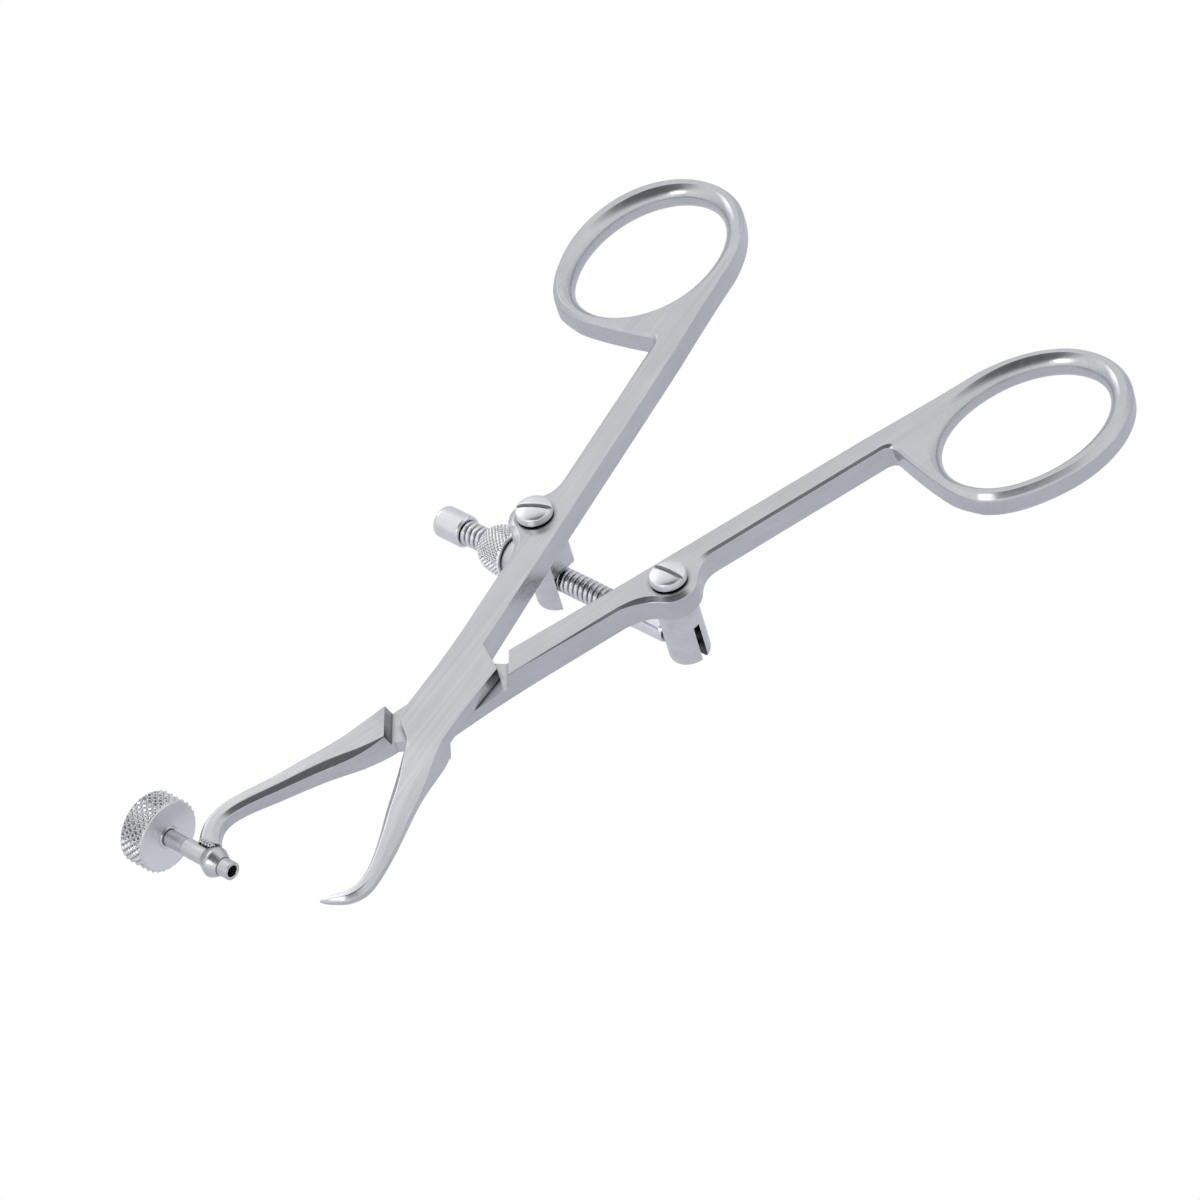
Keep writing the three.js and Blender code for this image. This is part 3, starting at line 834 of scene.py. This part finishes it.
def nut_collar():
    low, high = span("nut_collar")
    radius = half_size("nut_collar").z
    bore = THREAD["radius"] + 0.1
    corners = [
        (low.x, bore), (low.x, radius), (high.x - 0.4, radius), (high.x, radius - 0.4), (high.x, bore),
    ]
    profile = softened([(along - high.x, r) for along, r in corners], 0.12, closed=True)
    collar = turned("nut_collar_turned", profile + profile[:1], place(high.x, SWIVEL_Y, SPINDLE_Z))
    return finish(collar, "nut_travel", "turned_steel", TURNED, "nut_collar")


def diamonds(knurl, start, end, round_tops=False):
    """A rolled diamond pattern between two places along a rim."""
    count, pitch, depth = knurl["count"], knurl["pitch"], knurl["depth"]

    def relief(along, angle, radius):
        fade = min(1.0, (along - start) / 0.25, (end - along) / 0.25)
        if fade <= 0:
            return radius
        turn = count * angle / (2 * math.pi)
        ridges = [abs(2 * (v - math.floor(v)) - 1) for v in (turn + along / pitch, turn - along / pitch)]
        height = min(1.0, 1.2 * (1 - max(ridges)))
        if round_tops:
            height = math.sin(math.pi / 2 * height)
        return radius - depth * (1 - height) * fade
    return relief


def knurled_nut():
    low, high = span("knurled_nut")
    length = high.x - low.x
    bore = THREAD["radius"] + 0.1
    radius = half_size("knurled_nut").z
    dome = bend((-length, 2.6), (-0.82 * length, radius), (-0.3 * length, radius), 12)
    corners = [(-length, bore)] + dome + [(-0.2, radius), (0, radius - 0.2), (0, bore), (-length, bore)]
    relief = diamonds(NUT_KNURL, -length + 0.05, -0.1, True)
    nut = turned("knurled_nut_turned", corners, place(high.x, SWIVEL_Y, SPINDLE_Z), 340, relief, 0.08)
    return finish(nut, "nut", "knurled_steel", NUT_STEEL, "knurled_nut", sharp=60)


# ---- drill guide ----
def guide_bush():
    low, high = span("guide_bush")
    ball = half_size("guide_bush").z
    ridge = low.x + 1.7
    bore = 1.44
    corners = [
        (low.x, bore), (low.x, 1.6), (ridge - 0.2, ball), (ridge + 0.2, ball),
        (high.x, 1.56), (high.x, bore),
    ]
    profile = softened([(along - low.x, r) for along, r in corners], 0.35)
    bush = turned("guide_bush_turned", profile + profile[:1], place(low.x, GUIDE_Y, 0))
    return finish(bush, "guide_side", "turned_steel", TUBE_STEEL, "guide_bush")


def drill_sleeve():
    low, high = span("drill_sleeve")
    knob = span("sleeve_knob")[1].x
    bore, radius, step, barrel = (SLEEVE[key] for key in ("bore", "radius", "step", "barrel"))
    corners = [
        (low.x, bore), (low.x, radius), (knob, radius), (knob + 0.05, step), (-14.4, step),
        (-14.2, barrel), (high.x, barrel), (high.x, bore),
    ]
    profile = softened([(along - high.x, r) for along, r in corners], 0.16, closed=True)
    sleeve = turned("drill_sleeve_turned", profile + profile[:1], place(high.x, GUIDE_Y, 0))
    return finish(sleeve, "sleeve", "turned_steel", TUBE_STEEL, "drill_sleeve")


def sleeve_knob():
    low, high = span("sleeve_knob")
    radius = half_size("sleeve_knob").z
    width = high.x - low.x
    bore = 1.3
    corners = [
        (-width, bore), (-width, 2.1), (-width + 0.15, 2.3), (-width + 0.15, radius - 0.75),
        (-width + 0.5, radius), (-0.5, radius), (-0.15, radius - 0.5), (-0.15, 1.75),
        (0, 1.65), (0, 1.36), (-0.3, bore), (-width, bore),
    ]
    relief_of = diamonds(KNOB_KNURL, -width + 0.3, -0.3)

    def relief(along, angle, r):
        return relief_of(along, angle, r) if r > radius - 0.4 else r

    knob = turned("sleeve_knob_turned", corners, place(high.x, GUIDE_Y, 0), 380, relief, 0.09)
    return finish(knob, "knob", "knurled_steel", KNOB_STEEL, "sleeve_knob", sharp=50)


# ---- studio ----
def white_to_camera(tree, kind, shader, output):
    """Sends a shader to the output, with plain white in its place for the camera."""
    white = node(tree, kind, Color=(1, 1, 1, 1), Strength=1.0)
    seen = node(tree, "ShaderNodeLightPath").outputs["Is Camera Ray"]
    mix = fed(tree, node(tree, "ShaderNodeMixShader"), [seen, shader, white.outputs[0]])
    tree.links.new(mix[0], tree.nodes[output].inputs["Surface"])


def floor():
    """A pale floor that stays white to the camera and grey to what mirrors it. It lies low enough
    for the spindle to swing out above it."""
    size = 3000
    swing = centre("spindle_cross_pin").x - span("spindle_end_cap")[0].x
    depth = SPINDLE_Z - swing - 5
    corners = [(-size, -size, depth), (size, -size, depth), (size, size, depth), (-size, size, depth)]
    plane = piece("floor", corners, [(0, 1, 2, 3)])
    material = bpy.data.materials.new("pale_floor")
    material.use_nodes = True
    tree = material.node_tree
    shader = tree.nodes["Principled BSDF"]
    shader.inputs["Base Color"].default_value = (0.62, 0.63, 0.67, 1)
    shader.inputs["Roughness"].default_value = 1.0
    shader.inputs["Emission Color"].default_value = (0.9, 0.93, 1, 1)
    shader.inputs["Emission Strength"].default_value = 0.22
    white_to_camera(tree, "ShaderNodeEmission", shader.outputs[0], "Material Output")
    plane.data.materials.append(material)


# The middle of the sky's dark part, between overhead and the camera.
DARK_CENTRE = Vector((0.3, -0.21, 0.93)).normalized()


def sky():
    """Soft light all round, darker overhead and above the camera; white to the camera."""
    world = bpy.data.worlds.new("studio")
    bpy.context.scene.world = world
    world.use_nodes = True
    tree = world.node_tree
    back = tree.nodes["Background"]
    where = node(tree, "ShaderNodeTexCoord").outputs["Generated"]
    ramp = node(tree, "ShaderNodeValToRGB")
    height = vector(tree, "DOT_PRODUCT", "Value", where, DARK_CENTRE)
    tree.links.new(height, ramp.inputs["Fac"])
    stops = ramp.color_ramp.elements
    stops[0].color = (0.74, 0.76, 0.80, 1)
    stops[1].color = (0.14, 0.15, 0.16, 1)
    for place_on_ramp, level in ((0.25, 0.9), (0.7, 0.96), (0.84, 0.5), (0.9, 0.18)):
        stop = stops.new(place_on_ramp)
        stop.color = (level, level, level * 1.02, 1)
    tree.links.new(ramp.outputs["Color"], back.inputs["Color"])
    back.inputs["Strength"].default_value = 1.0
    white_to_camera(tree, "ShaderNodeBackground", back.outputs[0], "World Output")


def soft_box(name, azimuth, elevation, distance, size, power):
    """A square area light that faces the origin."""
    data = bpy.data.lights.new(name, "AREA")
    data.size = size
    data.energy = power
    lamp = bpy.data.objects.new(name, data)
    bpy.context.scene.collection.objects.link(lamp)
    a, e = math.radians(azimuth), math.radians(elevation)
    away = Vector((math.sin(a) * math.cos(e), -math.cos(a) * math.cos(e), math.sin(e)))
    lamp.location = away * distance
    lamp.rotation_mode = "QUATERNION"
    lamp.rotation_quaternion = away.to_track_quat("Z", "Y")


def camera():
    """The viewing angle: azimuth, elevation and roll, from 1.18 m away."""
    a, e, roll = math.radians(54.61), math.radians(42.31), math.radians(-17.39)
    away = Vector((math.sin(a) * math.cos(e), -math.cos(a) * math.cos(e), math.sin(e)))
    data = bpy.data.cameras.new("camera")
    data.sensor_width = 36
    data.lens = 240.47
    item = bpy.data.objects.new("camera", data)
    bpy.context.scene.collection.objects.link(item)
    item.location = Vector((720.76, -481.07, 798.69)) * MM + MIDDLE
    item.rotation_mode = "QUATERNION"
    item.rotation_quaternion = away.to_track_quat("Z", "Y") @ Quaternion((0, 0, 1), roll)
    data.clip_end = 10
    bpy.context.scene.camera = item


point_arm()
guide_arm()
braze_bead()
joint_rivet()
lock_block()
spindle_post()
swivel_screw("lock_block_screw", "block")
swivel_screw("spindle_post_screw", "post")
cross_pin()
threaded_spindle()
end_cap()
nut_collar()
knurled_nut()
guide_bush()
drill_sleeve()
sleeve_knob()

floor()
sky()
soft_box("key_light", 262, 30, 1.0, 0.5, 0.8)
soft_box("side_light", 14, 38, 1.0, 0.35, 0.9)
camera()
bpy.context.scene.view_settings.view_transform = "Standard"
